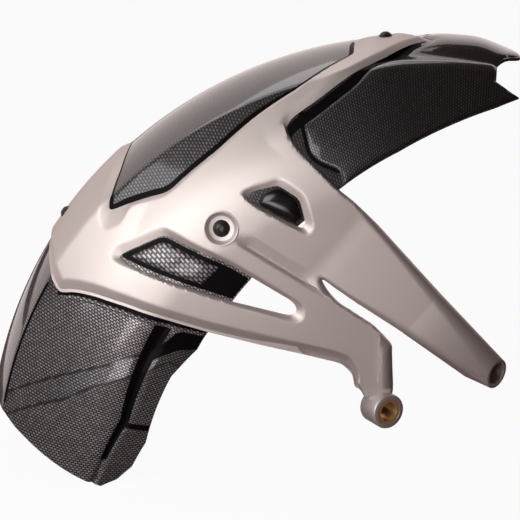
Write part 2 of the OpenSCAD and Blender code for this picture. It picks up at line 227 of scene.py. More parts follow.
section = half_section(3.0)
soft_section = half_section(26.0)
crease_s = float(np.interp(crown_half, section[1], section[0]))


def depth_at(s):
    """Depth of the plain section under its middle at a length s across it."""
    return np.interp(np.abs(s), section[0], section[2])


def length_at(depth):
    """Length across the plain section at which it has come down to a depth."""
    return np.interp(depth, section[2], section[0])


def edge_depth(phi):
    """Depth of the flank's lower edge under the crown line at an angle, from a smoothed outline."""
    return np.interp(phi, edge_by_angle[:, 0], edge_by_angle[:, 1])


def tail_relief(phi, w, d):
    """Depth added towards the tail: a groove 36 mm off the middle (a bell of 12 mm), a rise of the
    shoulder beyond 44 mm, and a drop of the beak in the middle; it fades out down the flank."""
    weight = ease((104.0 - phi) / 24.0)
    w = np.minimum(w, crown_half)
    relief = weight * (groove_depth * np.exp(-((w - 36.0) / 12.0) ** 2)
                       - shoulder_rise * ease((w - 44.0) / 10.0))
    relief = relief + beak_drop * ease((84.0 - phi) / 7.0) * (1.0 - ease((w - 12.0) / 26.0))
    down = np.clip((d - crease_depth) / (edge_depth(phi) - crease_depth), 0.0, None)
    return relief * (1.0 - ease(down / 0.75))


def crease_angles(d):
    """Angles of the front flank's two slanting creases at a depth d."""
    first = np.interp(d, [11, 19.4, 53.3, 76.6, 100.8, 120], [167, 165.5, 159.6, 155.5, 149.9, 145.5])
    second = np.interp(d, [11, 20.7, 59, 79.5, 103.1, 120], [170.5, 168.8, 163.1, 158.5, 154.1, 149.5])
    return first, second


def lip_depth(phi):
    """Depth of the lip line that runs along the front flank."""
    return np.interp(phi, [138, 144.1, 163.2, 173.1, 178], [97, 99.5, 105.2, 93.6, 84])


def front_form(phi, d):
    """Height added to the front flank: a facet rises 2.4 mm between the two slanting creases, the
    skirt below the lip line falls back towards the tyre, and a groove 2.6 mm deep follows that line."""
    first, second = crease_angles(d)
    proud = facet_rise * ease((d - 10.0) / 18.0) * np.clip((phi - first) / (second - first), 0.0, 1.0)
    lip = lip_depth(phi)
    skirt = ease((phi - 136.0) / 6.0) * np.clip(d - lip, 0.0, None) * 0.22
    wide = np.interp(phi, [143, 157, 173], [6.0, 4.5, 2.2])
    groove = 2.6 * ease((phi - 136.0) / 6.0) * np.exp(-((d - lip - 2.0) / wide) ** 2)
    return proud - skirt - groove


def shell_surface(phi, s, h, plain=False):
    """Point on the shell at an angle phi along the crown line and a length s across it (positive on
    the near side), stood off by h along the section's normal. Over 10 degrees towards the tail the
    crease turns into the softer one. A plain point is without the relief of the front and the tail."""
    side = np.where(s < 0, 1.0, -1.0)
    a = np.abs(s)
    soft = ease((101.0 - phi) / 10.0)
    w, d, nw, nd = (np.interp(a, section[0], section[i]) * (1.0 - soft)
                    + np.interp(a, soft_section[0], soft_section[i]) * soft for i in (1, 2, 3, 4))
    if plain:
        depth = d + nd * h
    else:
        h = h + front_form(phi, d)
        depth = d + nd * h + tail_relief(phi, w, d)
    turn = np.radians(phi)
    x = arc_x + (arc_r - depth) * np.cos(turn)
    z = arc_z + (arc_r - depth) * np.sin(turn)
    return np.stack([x, mid_y + side * (w + nw * h), z], axis=-1)


def tail_end(across, down):
    """Angle of the shell's rear end at a distance across the crown and a share down the flank."""
    return np.where(down <= 0.0, 77.4 + 4.2 * ease(across / 40.0),
                    81.6 - 3.3 * np.clip((down - 0.55) / 0.45, 0.0, 1.0))


def shell_grid(rows, near_crown, near_flank, far):
    """Angles and lengths of the shell's grid: columns run from the near edge over the crown to the
    far edge, and each row slants from the leaning front end to the tail's outline."""
    v = np.r_[2.0 - np.linspace(0.0, 1.0, near_flank + 1)[:-1], np.linspace(1.0, 0.0, near_crown + 1)[:-1],
              -np.linspace(0.0, 1.0, far + 1)[:-1], -1.0 - np.linspace(0.0, 1.0, far + 1)]
    a = np.abs(v)
    crown_drop = crown_rho - np.sqrt(crown_rho ** 2 - (np.minimum(a, 1.0) * crown_half) ** 2)
    depth = np.where(a <= 1, crown_drop, crease_depth + (front_depth - crease_depth) * (a - 1.0))
    start = front_phi + front_lean * depth
    end = tail_end(a * crown_half, a - 1.0)
    t = np.linspace(0.0, 1.0, rows + 1)
    t = t - 0.07 * np.sin(2.0 * np.pi * t) / np.pi
    phi = start[None, :] * (1.0 - t[:, None]) + end[None, :] * t[:, None]
    low_phi = (front_phi + front_lean * front_depth) * (1.0 - t) + tail_phi * t
    low_s = length_at(edge_depth(low_phi))
    s = np.where(a[None, :] <= 1, a[None, :] * crease_s,
                 crease_s + (a[None, :] - 1.0) * (low_s[:, None] - crease_s))
    return phi, np.where(v[None, :] < 0, -s, s)


def closed_wall(outer, inner):
    """Points and triangles of a closed wall between two grids of the same size."""
    rows, cols = outer.shape[:2]
    index = np.arange(rows * cols).reshape(rows, cols)
    a, b, c, d = index[:-1, :-1], index[:-1, 1:], index[1:, :-1], index[1:, 1:]
    top = np.concatenate([np.stack([a, c, b], -1).reshape(-1, 3), np.stack([b, c, d], -1).reshape(-1, 3)])
    low = top[:, ::-1] + rows * cols
    ring = np.r_[index[0, :-1], index[:-1, -1], index[-1, :0:-1], index[:0:-1, 0]]
    after = np.roll(ring, -1)
    under, under_after = ring + rows * cols, after + rows * cols
    rim = np.concatenate([np.stack([ring, after, under], -1), np.stack([after, under_after, under], -1)])
    return np.concatenate([outer.reshape(-1, 3), inner.reshape(-1, 3)]), np.concatenate([top, low, rim])


def weave_dot_light(phi, s):
    """How bright the weave's dots are painted, from 0.1 on the crown to 1 down the front flank. The print
    is real; this paints sheen where its dots catch the lamps and shade elsewhere: less towards the tail,
    on the slanting facet and below the lip line, hardly at all in the two creases, and above the lip line
    of the front flank brighter further from the front end."""
    depth = depth_at(s)
    first, second = crease_angles(depth)
    facet = (phi - first) / (second - first)
    dot_light = 0.1 + 0.9 * ease((depth - crease_depth + 3.0) / 5.0)
    dot_light = dot_light * (0.32 + 0.68 * ease((phi + depth * 0.3 - 152.0) / 8.0))
    dot_light = dot_light * (0.4 + 0.6 * ease((phi - 106.0) / 16.0))
    dot_light = dot_light * np.where((facet > 0) & (facet < 1), 0.75, 1.0)
    off_crease = np.minimum(np.abs(facet), np.abs(facet - 1.0)) * 17.0
    dot_light = dot_light * np.where((off_crease < 1.1) & (s >= 0), 0.1, 1.0)
    x = arc_x + (arc_r - depth) * np.cos(np.radians(phi))
    forward = np.where(facet >= 1, ease((x + 235.0) / 95.0), ease((x + 250.0) / 75.0))
    above_lip = depth <= lip_depth(phi)
    return dot_light * np.where(phi > 145, np.where(above_lip, 0.6 + 0.5 * forward, 0.5), 1.0)


phi, s = shell_grid(260, 34, 92, 28)
points, faces = closed_wall(shell_surface(phi, s, 0.0), shell_surface(phi, s, -shell_t))
threads = np.stack([s * 0.001, np.radians(phi) * 0.3], axis=-1).reshape(-1, 2)
# The last argument paints sheen and shade on the weave's dots, point by point.
shell = make_mesh("shell", points, faces, 35.0, np.concatenate([threads, threads]),
                  np.tile(weave_dot_light(phi, s).ravel(), 2))


def weave_coat(name, width, row, thread, coat_ior=1.3):
    """Moulded plastic with a clear coat over a printed weave: staggered threads width mm long in rows
    of row mm, with a dull metal sheen on black, so they show only where they mirror the light. A point
    attribute scales the threads, and so paints sheen and shade on them."""
    unit_mm = 16.0
    coat = bpy.data.materials.new(name)
    coat.use_nodes = True
    tree = coat.node_tree
    shine = tree.nodes["Principled BSDF"]
    where = add_node(tree, "ShaderNodeUVMap", uv_map="threads")
    bricks = add_node(tree, "ShaderNodeTexBrick", [("Vector", where.outputs["UV"])], offset=0.5,
                      Scale=1000.0 / unit_mm, Mortar_Size=0.031 * row, Mortar_Smooth=1.0,
                      Brick_Width=width / unit_mm, Row_Height=row / unit_mm, Color1=linear("#ffffff"),
                      Color2=linear("#d8d8d8"), Mortar=linear("#000000"))
    dots = add_node(tree, "ShaderNodeMath", [(0, bricks.outputs["Color"])], operation="POWER")
    dots.inputs[1].default_value = 1.5
    # The threads' painted sheen and shade, read point by point from an attribute.
    dot_light = add_node(tree, "ShaderNodeAttribute", attribute_name="thread_dot_light_level")
    dots = add_node(tree, "ShaderNodeMath", [(0, dots.outputs[0]), (1, dot_light.outputs["Fac"])],
                    operation="MULTIPLY")
    colour = add_node(tree, "ShaderNodeMixRGB", [("Fac", dots.outputs[0])],
                      Color1=linear("#070506"), Color2=linear(thread))
    sheen = add_node(tree, "ShaderNodeMath", [(0, dots.outputs[0])], operation="MULTIPLY")
    sheen.inputs[1].default_value = 0.9
    tree.links.new(colour.outputs[0], shine.inputs["Base Color"])
    tree.links.new(sheen.outputs[0], shine.inputs["Metallic"])
    shine.inputs["Coat Roughness"].default_value = 0.08
    shine.inputs["Roughness"].default_value = 0.45
    shine.inputs["Specular IOR Level"].default_value = 0.25
    shine.inputs["Coat Weight"].default_value = 1.0
    shine.inputs["Coat IOR"].default_value = coat_ior
    bump = add_node(tree, "ShaderNodeBump", [("Height", bricks.outputs["Color"])], Strength=0.3,
                    Distance=0.0002)
    tree.links.new(bump.outputs[0], shine.inputs["Normal"])
    return coat


def give_crown_painted_reflection(thing, faces, lengths):
    """Gives the piece's second material to the faces between the creases: a copy whose coat mirrors more,
    which paints a brighter reflection on the crown.
    """
    on_crown = np.abs(lengths)[faces].max(axis=1) < crease_s + 1.0
    thing.data.polygons.foreach_set("material_index", on_crown.astype(np.int32))


woven = weave_coat("clear_coated_woven_black", 3.2, 2.1, "#c6bdc0")
# The crown copy of the coat mirrors more: painted reflection that brightens the crown.
woven_crown_reflection = weave_coat("clear_coated_woven_black_crown_reflection", 3.2, 2.1, "#c6bdc0", 1.75)
shell.data.materials.append(woven)
shell.data.materials.append(woven_crown_reflection)
give_crown_painted_reflection(shell, faces, np.tile(s.ravel(), 2))
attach(shell, "root")
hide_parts("mudguard_shell")

# The carrier: one moulding in satin silver, 0.3 mm over the shell's near side: two straps over the
# crown with the lens window between them, a slot and an eye in its side, and two thick arms, to the
# bush's collar and to a socket. Outlines hold (x, z) in mm, the lens and tail cuts (x, width).
seat_gap, skin_out, arm_t = 0.3, 3.3, 10.0
outline = [(-268, 117), (-263, 111), (-259.5, 103), (-254, 91), (-249.6, 84.6), (-246, 83.6),
           (-235.4, 86), (-219.4, 85.3), (-194.5, 80.3), (-132.9, 61.2), (-92.9, 50.8), (-62, 43.6),
           (-31.6, 36), (-26, 31), (-22.4, 26.7), (-21, 16.5), (-17, 15.5), (-12.5, 7), (-8, 10),
           (-2, 11.4), (3, 10.4), (7, 8.7), (8.6, 14), (7, 45), (7, 51.5), (2, 57), (-7, 66.5), (-14, 71),
           (-25, 78.5), (-33, 83.5), (-37, 87.5), (-42.5, 94), (-47.6, 103.2), (-44, 101), (-25.5, 87.4),
           (3.3, 68.4), (32.4, 49.2), (60.9, 29.9), (74, 20.8), (80, 20), (88, 36), (83.9, 44.4),
           (63.5, 68.4), (46.4, 87.4), (29.4, 106.2), (12.6, 124.9), (-4.1, 143.5), (-22.2, 161.9),
           (-37, 174.1), (-50.3, 187.2), (-64.9, 200.4), (-72.4, 211), (-73.5, 216), (-71.5, 219.5),
           (60, 219.5), (60, 330), (-300, 330)]
lens_cut = [(3.7, 60), (3.7, 17), (1, 14.5), (-10, 12.5), (-18, 4), (-21, -8), (-22.5, -32),
            (-63, -60.7), (-93, -66.2), (-126.5, -73.6), (-163, -77), (-207.3, -64.7),
            (-209.5, -62.5), (-202, -36.3), (-197, 0), (-196, 60)]
tail_cut = [(3.7, 60), (3.7, 17), (7, 14.5), (16, 12.5), (24, 4), (33, -8), (36, -13), (22.8, -21.5),
            (1.7, -43), (-23.7, -60), (-50, -69), (-69, -73.6), (-73.5, -76), (-73.5, -140),
            (140, -140), (140, 60)]
slot_cut = [(-200.5, 116), (-196.5, 119.8), (-167.5, 134.6), (-161.5, 134.6), (-115, 114.2),
            (-69, 85.6), (-65.3, 80.5), (-66.3, 76), (-70.5, 74.2), (-115, 85.6), (-176, 106),
            (-197, 113)]
slot_rim = [(-206.2, 117), (-201.5, 124), (-167.2, 140.7), (-163, 140.8), (-115.2, 118.7),
            (-65.9, 87.8), (-61.4, 83.8), (-59.1, 78.7), (-60.2, 72.4), (-65.8, 69), (-115.3, 83.6),
            (-175.2, 104.1), (-195.1, 110.4), (-205.5, 112.9)]
eye_cut = [(-103.5, 167.3), (-101, 169.7), (-81, 175), (-77.5, 173.8), (-64, 165), (-59.3, 147.5),
           (-60.5, 142.6), (-64.5, 143.4), (-93, 158.3), (-102.5, 164.3)]
eye_rim = [(-106.9, 167.7), (-104.7, 171.3), (-92.9, 176), (-80.3, 180.7), (-74.4, 178.8),
           (-59.7, 169.2), (-52.1, 144.2), (-57.3, 137.3), (-65.8, 141.9), (-92.9, 156.8),
           (-104.7, 164.3)]
lower_arm = [(-62, 43.6), (-31.6, 36), (-26, 31), (-22.4, 26.7), (-21, 16.5), (-17.5, 17.2), (-14, -2),
             (-6, -10), (4, -8), (10, 4), (7, 45), (7, 51.5), (-7, 66.5), (-25, 78.5), (-37, 87.5),
             (-47.6, 103.2), (-58, 100), (-60, 66), (-66, 52)]


def softened(corners, reach):
    """Outline with each corner replaced by a parabola that starts reach mm before it, or at 0.45 of
    a shorter side."""
    p = np.asarray(corners, float)
    before, after = np.roll(p, 1, axis=0) - p, np.roll(p, -1, axis=0) - p
    lb, la = np.hypot(*before.T), np.hypot(*after.T)
    a = p + before * (np.minimum(reach, 0.45 * lb) / lb)[:, None]
    b = p + after * (np.minimum(reach, 0.45 * la) / la)[:, None]
    t = np.linspace(0.0, 1.0, 6)[None, :, None]
    return ((1 - t) ** 2 * a[:, None] + 2 * t * (1 - t) * p[:, None] + t * t * b[:, None]).reshape(-1, 2)


def inside(outline_points, u, v):
    """Distance in mm from points (u, v) to a closed outline, positive inside it: the least distance
    to any side, with the sign from how often a ray to the right crosses the outline."""
    p = np.asarray(outline_points, float)
    q = np.roll(p, -1, axis=0)
    uf, vf = u.ravel(), v.ravel()
    best, hits = np.full(uf.size, 1e9), np.zeros(uf.size, dtype=np.int32)
    for (x0, y0), (x1, y1) in zip(p, q):
        wx, wy = x1 - x0, y1 - y0
        along = np.clip(((uf - x0) * wx + (vf - y0) * wy) / (wx * wx + wy * wy + 1e-12), 0.0, 1.0)
        best = np.minimum(best, np.hypot(uf - x0 - along * wx, vf - y0 - along * wy))
        if y0 != y1:
            hits += ((y0 > vf) != (y1 > vf)) & (uf < x0 + (vf - y0) / (y1 - y0) * wx)
    return np.where(hits % 2 == 1, best, -best).reshape(u.shape)


def cut_sheet(phi_range, s_range, phi_step, s_step, kept, outer, inner):
    """Closed wall over the part of a grid of angles and lengths where kept(phi, s) is above 0. Each
    square is two triangles; one that the zero line crosses is cut along it, and the rims are joined
    from outer(phi, s) to inner(phi, s)."""
    phi_line = np.arange(phi_range[0], phi_range[1] + phi_step, phi_step)
    s_line = np.arange(s_range[0], s_range[1] + s_step, s_step)
    phi, s = np.meshgrid(phi_line, s_line, indexing="ij")
    value = kept(phi, s).ravel()
    value = np.where(np.abs(value) < 0.04, 0.04, value)
    phi, s = phi.ravel(), s.ravel()
    index = np.arange(phi.size).reshape(len(phi_line), len(s_line))
    a, b, c, d = index[:-1, :-1], index[:-1, 1:], index[1:, :-1], index[1:, 1:]
    odd = (np.add.outer(np.arange(a.shape[0]), np.arange(a.shape[1])) % 2 == 1)[..., None]
    first = np.where(odd, np.stack([a, c, b], -1), np.stack([a, c, d], -1)).reshape(-1, 3)
    second = np.where(odd, np.stack([b, c, d], -1), np.stack([a, d, b], -1)).reshape(-1, 3)
    tris = np.concatenate([first, second])
    count = (value[tris] > 0).sum(1)
    whole = tris[count == 3]
    one, two = tris[count == 1], tris[count == 2]
    one = np.take_along_axis(one, (np.argmax(value[one] > 0, 1)[:, None] + np.arange(3)) % 3, 1)
    two = np.take_along_axis(two, (np.argmin(value[two] > 0, 1)[:, None] + np.arange(3)) % 3, 1)
    edges = np.concatenate([one[:, [0, 1]], one[:, [0, 2]], two[:, [1, 0]], two[:, [2, 0]]])
    key = edges.min(1) * phi.size + edges.max(1)
    unique, place = np.unique(key, return_inverse=True)
    lo, hi = unique // phi.size, unique % phi.size
    share = value[lo] / (value[lo] - value[hi])
    new_phi, new_s = phi[lo] + (phi[hi] - phi[lo]) * share, s[lo] + (s[hi] - s[lo]) * share
    place = place + phi.size
    n1, n2 = len(one), len(two)
    p01, p02, p10, p20 = place[:n1], place[n1:2 * n1], place[2 * n1:2 * n1 + n2], place[2 * n1 + n2:]
    tris = np.concatenate([whole, np.stack([one[:, 0], p01, p02], -1),
                           np.stack([p10, two[:, 1], two[:, 2]], -1), np.stack([p10, two[:, 2], p20], -1)])
    used, tris = np.unique(tris, return_inverse=True)
    tris = tris.reshape(-1, 3)
    phi, s = np.concatenate([phi, new_phi])[used], np.concatenate([s, new_s])[used]
    top, low = outer(phi, s), inner(phi, s)
    half = np.concatenate([tris[:, [0, 1]], tris[:, [1, 2]], tris[:, [2, 0]]])
    key = half.min(1) * len(used) + half.max(1)
    unique, first_at, times = np.unique(key, return_index=True, return_counts=True)
    rim = half[first_at[times == 1]]
    a, b = rim[:, 0], rim[:, 1]
    a_low, b_low = a + len(used), b + len(used)
    walls = np.concatenate([np.stack([a, a_low, b], -1), np.stack([b, a_low, b_low], -1)])
    return np.concatenate([top, low]), np.concatenate([tris, tris[:, ::-1] + len(used), walls])


soft_outline, soft_lens, soft_tail = softened(outline, 6.0), softened(lens_cut, 6.0), softened(tail_cut, 6.0)
soft_slot, soft_slot_rim = softened(slot_cut, 5.0), softened(slot_rim, 7.0)
soft_eye, soft_eye_rim = softened(eye_cut, 4.0), softened(eye_rim, 7.0)
soft_lower = softened(lower_arm, 6.0)
screw_depth, crown_screw_phis = 77.0, (95.0, 143.5)
screw_at = (125.1, float(length_at(screw_depth)))
arm_root, arm_tip = np.array([-42.0, 131.0]), np.array([80.0, 30.0])
arm_long = float(np.hypot(*(arm_tip - arm_root)))
arm_way = (arm_tip - arm_root) / arm_long


def along_arm(x, z):
    """Places along the upper arm's middle line and above it, in mm."""
    dx, dz = x - arm_root[0], z - arm_root[1]
    return dx * arm_way[0] + dz * arm_way[1], dz * arm_way[0] - dx * arm_way[1]


def arm_section(along, edge):
    """Height of the upper arm's middle over the shell, and its half thickness: a half round towards
    each edge, whose radius grows from 4 to 12 mm down the arm."""
    t = along / arm_long
    round_mm = 4.0 + 8.0 * ease(t)
    swell = np.sqrt(np.clip(1 - (1 - np.clip(edge / round_mm, 0, 1)) ** 2, 0, 1))
    return -2.0 + 5.0 * t, (5.0 + 6.0 * np.clip(t, 0, 1)) * swell


def arm_zone(x, z, along):
    """Share of the upper arm in the carrier's form: it grows over 22 mm, and only above the lower arm."""
    clear = (z > 18) & ((x >= -3) | (z > 78 + (-25 - x) * 0.7))
    return ease((along + 4.0) / 22.0) * clear


def carrier_cuts(phi, s):
    """Place x, z of points of the outer face, and their distances in mm inside the outline and
    outside each cut: the window, the tail, the straps' far end, the slot, the eye, the end, the bore."""
    p = shell_surface(phi, s, skin_out, plain=True)
    x, y, z = p[..., 0], p[..., 1] - mid_y, p[..., 2]
    lens = np.where(z > 120, -inside(soft_lens, x, y), 99.0)
    tail = np.where(z > 217, -inside(soft_tail, x, y), 99.0)
    strap = np.where(z > 120, 16.0 - y, 99.0)
    along, above = along_arm(x, z)
    end = np.where((along > 60.0) & (above > -28.0), 101.0 - along, 99.0)
    bore = np.hypot(np.radians(phi - screw_at[0]) * (arc_r - screw_depth), s - screw_at[1]) - 11.9
    return (x, z, inside(soft_outline, x, z), lens, tail, strap, -inside(soft_slot, x, z),
            -inside(soft_eye, x, z), end, bore)


def carrier_kept(phi, s):
    """Least of the distances to all cuts, so above 0 where the carrier has material."""
    return np.minimum.reduce(carrier_cuts(phi, s)[2:])


def carrier_face(phi, s):
    """Outer face: 1.5 to 3.3 mm over the shell, falling off in bevels at the windows, the straps'
    edges and the lower edge; along the upper arm it swells to a half round."""
    x, z, edge, lens, tail, strap, slot, eye = carrier_cuts(phi, s)[:8]
    d = depth_at(s)
    rear = ease((x + 110.0) / 40.0) * ease((lens - 2.0) / 16.0)
    front = ease((-165.0 - x) / 40.0)
    level = 1.5 + (skin_out - 1.5) * np.maximum.reduce([ease((d - 22.0) / 36.0), rear, front])
    for screw_phi in crown_screw_phis:
        off = np.hypot(np.radians(phi - screw_phi) * arc_r, s)
        level = level + (2.5 - level) * ease((10.0 - off) / 2.4)
    height = level.copy()
    for gap, rim_line in ((slot, soft_slot_rim), (eye, soft_eye_rim)):
        to_rim = np.maximum(inside(rim_line, x, z), 0.0)
        share = gap / np.maximum(gap + to_rim, 1.4)
        height = np.minimum(height, 0.3 + (level - 0.3) * np.clip(share, 0, 1))
    wide = 1.2 + 5.3 * ease((-190.0 - x) / 10.0)
    height = np.minimum(height, 0.25 + (level - 0.25) * np.clip(lens / wide, 0, 1) ** 0.9)
    height = np.minimum(height, 0.25 + (level - 0.25) * np.clip(tail / 5.5, 0, 1))
    height = np.minimum(height, 0.5 + (level - 0.5) * np.clip(strap / 1.5, 0, 1))
    # A step 2.1 mm deep slants from the counterbore down to the fork of the arms.
    below = (x + 85.5) * -0.5356 + (z - 129.6) * -0.8445
    along = (x + 107.8) * 0.8445 + (z - 143.2) * -0.5356
    step = 2.1 * np.clip(below / 9.5, 0, 1) * ease((12.5 - below) / 2.4)
    height = height - step * ease(along / 14.0) * ease((84.0 - along) / 10.0)
    # The lower edge: a wide bevel under the shell's face in the middle, a narrow one elsewhere.
    low = ease((84.0 + 0.28 * (-194.0 - x) - z + 14.0) / 4.0) * ease((-12.0 - x) / 14.0)
    low = np.where(x < -262, 0.0, low)
    wide = 1.2 + 8.0 * low
    bottom = -0.6 - 3.0 * ease((x + 110.0) / 60.0)
    bottom = level + (bottom - level) * low + (0.5 - level) * (1 - low)
    height = np.minimum(height, bottom + (level - bottom) * np.clip(edge / wide, 0, 1))
    along, above = along_arm(x, z)
    middle, thick = arm_section(along, edge)
    height = height + (middle + thick - height) * arm_zone(x, z, along) * (above > -60)
    return shell_surface(phi, s, height, plain=True)


def carrier_back(phi, s):
    """Hidden face: 0.3 mm over the shell, and 10 mm or more under the outer face along the arms."""
    x, z, edge = carrier_cuts(phi, s)[:3]
    along = along_arm(x, z)[0]
    middle, thick = arm_section(along, edge)
    height = np.full(phi.shape, seat_gap)
    height = height + (skin_out - arm_t - height) * ease(inside(soft_lower, x, z) / 4.0)
    height = height + (middle - thick - height) * arm_zone(x, z, along)
    return shell_surface(phi, s, height, plain=True)


carrier_parts = [cut_sheet((57.0, 188.0), (-18.0, 334.0), 0.3, 1.6, carrier_kept, carrier_face, carrier_back)]


def circle_about(axis, steps):
    """Unit vectors all round an axis."""
    across = np.cross(axis, (0.0, 0.0, 1.0))
    across /= np.linalg.norm(across)
    angle = np.linspace(0.0, 2.0 * np.pi, steps, endpoint=False)
    return np.outer(np.cos(angle), across) + np.outer(np.sin(angle), np.cross(across, axis))


def turned(profile, centre, axis, steps=96):
    """Points and triangles of a closed profile of (radius, place along the axis) turned about it."""
    profile, axis = np.asarray(profile, float), np.asarray(axis, float) / np.linalg.norm(axis)
    around = circle_about(axis, steps)
    points = profile[None, :, :1] * around[:, None, :] + profile[None, :, 1:] * axis
    points = points + np.asarray(centre, float)
    index = np.arange(points.shape[0] * points.shape[1]).reshape(points.shape[:2])
    a, b = index, np.roll(index, -1, axis=1)
    c, d = np.roll(index, -1, axis=0), np.roll(b, -1, axis=0)
    faces = np.concatenate([np.stack([a, b, c], -1).reshape(-1, 3), np.stack([b, d, c], -1).reshape(-1, 3)])
    points = points.reshape(-1, 3)
    corners = points[faces]
    volume = np.einsum("ij,ij->i", corners[:, 0], np.cross(corners[:, 1], corners[:, 2])).sum()
    return points, faces if volume > 0 else faces[:, ::-1]


# The collar round the bush, with rounded rims, turned 30 degrees towards the tail.
carrier_parts.append(turned([(9.6, -9.6), (10.0, -10.0), (12.6, -10.0), (13.2, -9.6), (13.5, -8.8),
                             (13.5, 8.8), (13.2, 9.6), (12.6, 10.0), (10.0, 10.0), (9.6, 9.6)],
                            (0, 0, 0), (0.5, -0.8660254, 0)))

# The counterbore of the side screw: a cup with a raised lip, a sloping wall and a flat seat.
cup_place = shell_surface(*screw_at, 0.0, plain=True)
cup_axis = shell_surface(*screw_at, 1.0, plain=True) - cup_place
carrier_parts.append(turned([(3.6, 0.5), (13.0, 0.5), (13.4, 3.1), (13.2, 3.6), (12.8, 3.8), (12.3, 3.7),
                             (11.9, 3.4), (9.7, 1.85), (9.3, 1.65), (3.6, 1.65)], cup_place, cup_axis))

# The arm's end: the hull of the arm's section 88 mm down the arm and the socket's round body, with
# the socket bored 24 mm deep into it.
hub_along, half, steps = 88.0, 20.9, 96
share = hub_along / arm_long
round_mm = 4.0 + 8.0 * float(ease(share))
across_arm = np.array([-arm_way[1], arm_way[0]])
hub = arm_root + hub_along * arm_way + 2.95 * across_arm
q = half * np.sin(np.linspace(-0.5 * np.pi, 0.5 * np.pi, 41))
swell = (5.1 + 6.0 * share) * np.sqrt(1.0 - (1.0 - np.clip((half - np.abs(q)) / round_mm, 0, 1)) ** 2)
middle_y = mid_y - side_half - (-2.0 + 5.0 * share)
line = hub[None, :] + q[:, None] * across_arm[None, :]
start = np.concatenate([np.stack([line[:, 0], middle_y - swell, line[:, 1]], -1),
                        np.stack([line[1:-1, 0], middle_y + swell[1:-1], line[1:-1, 1]], -1)])
socket_place, socket_axis = np.array([86.0, -8.0, 30.5]), np.array([0.7139795, -0.6894883, -0.1218693])
around = circle_about(socket_axis, steps)
rings = [socket_place + r * around + t * socket_axis for r, t in
         ((10.9, 0.0), (11.5, -0.25), (11.75, -0.9), (11.75, -24.5), (10.5, -26.0))]
bore = [socket_place + r * around + t * socket_axis for r, t in
        ((9.1, 0.0), (8.5, -0.6), (8.5, -23.6), (8.1, -24.0), (0.05, -24.0))]
end_points = np.concatenate(rings + [start])
cloud = bpy.data.meshes.new("arm_end_points")
cloud.from_pydata(end_points, [], [])
body = bmesh.new()
body.from_mesh(cloud)
bmesh.ops.convex_hull(body, input=body.verts)
bmesh.ops.triangulate(body, faces=body.faces)
body.to_mesh(cloud)
body.free()
skin = np.empty(len(cloud.loops), dtype=np.int32)
cloud.loops.foreach_get("vertex_index", skin)
bpy.data.meshes.remove(cloud)
# The hull's flat mouth, whose corners all lie on the first ring, makes way for the bore.
skin = skin.reshape(-1, 3)
skin = skin[(skin >= steps).any(axis=1)]
first = np.arange(steps)
near = first
for step in range(len(bore)):
    far = len(end_points) + step * steps + first
    near_next, far_next = np.roll(near, -1), np.roll(far, -1)
    skin = np.concatenate([skin, np.stack([near, far, near_next], -1),
                           np.stack([near_next, far, far_next], -1)])
    near = far
skin = np.concatenate([skin, np.stack([np.full(steps - 2, near[0]), near[2:], near[1:-1]], -1)])
carrier_parts.append((np.concatenate([end_points] + bore), skin))
counts = np.cumsum([0] + [len(part[0]) for part in carrier_parts])
points = np.concatenate([part[0] for part in carrier_parts])
faces = np.concatenate([part[1] + count for part, count in zip(carrier_parts, counts)])
carrier = make_mesh("carrier", points, faces, 40.0)

# Nylon painted satin silver: fine metal flakes in a satin paint, so it glows pale where it faces the
# lamp and turns a warm grey where it faces away.
silver = bpy.data.materials.new("satin_silver_paint")
silver.use_nodes = True
shine = silver.node_tree.nodes["Principled BSDF"]
shine.inputs["Base Color"].default_value = linear("#c6bcb8")
shine.inputs["Metallic"].default_value = 0.7
shine.inputs["Roughness"].default_value = 0.5
carrier.data.materials.append(silver)
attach(carrier, "root")
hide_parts("side_carrier", "upper_arm")

# Thin pieces on the shell, each a closed skin with rounded rims: the tail's top behind the strap, the
# panel seen in the slot and its floor in painted shade, the bulge in the eye, the ridge under the carrier's
# lower edge, painted shade in the gaps beside the carrier, the tail panel and the front crease, and a band
# of painted shade along the groove.
soft_start = softened([(-64, 330), (-62, 225), (-60.3, 216.5), (-58.2, 207.3), (-56, 197.9), (-51.6, 193.3),
                       (-46.5, 190.7), (-34, 186), (-25, 150), (-25, 60), (200, 60), (200, 330)], 4.0)
soft_branch = softened([(-156.4, 59.3), (-132, 62), (-128, 53), (-139, 44), (-155, 45), (-168.5, 40.5),
                        (-180, 35), (-183, 44), (-170, 48.5), (-162.5, 53.5)], 3.0)
soft_fold = softened([(-198, -11.5), (-175, -17), (-173, -22.5), (-197, -16.5)], 2.0)
tail_low_s = float(length_at(edge_depth(tail_phi)))


def on_shell(phi, s):
    """x, z, distance above the shell's lower edge, depth, and distance from the middle plane."""
    p = shell_surface(phi, s, 0.0, plain=True)
    d = depth_at(s)
    return p[..., 0], p[..., 2], edge_depth(phi) - d, d, p[..., 1] - mid_y


def rounded(distance, reach, rise):
    """Height of a rim that starts 0.2 mm over the shell and reaches rise in a quarter round."""
    return 0.2 + (rise - 0.2) * np.sqrt(1.0 - (1.0 - np.clip(distance / reach, 0.0, 1.0)) ** 2)


def tail_kept(phi, s):
    """The tail behind the strap's gap of 4.5 mm, 1 mm inside the shell's end and lower edge."""
    x, z, low, _, y = on_shell(phi, s)
    across = np.abs(s)
    end = tail_end(across, (across - crease_s) / (tail_low_s - crease_s))
    plan = inside(soft_tail, x, -np.abs(y)) - 4.5
    return np.minimum.reduce([0.4 * plan, 0.4 * inside(soft_start, x, z),
                              np.radians(phi - end) * arc_r - 1.0, low - 1.0])


def slot_kept(phi, s):
    """The front part of the slot, 5.5 mm inside it."""
    x, z, low = on_shell(phi, s)[:3]
    return np.minimum.reduce([inside(soft_slot, x, z) - 5.5, low - 4.0, 0.7 * (z - x - 234.8)])


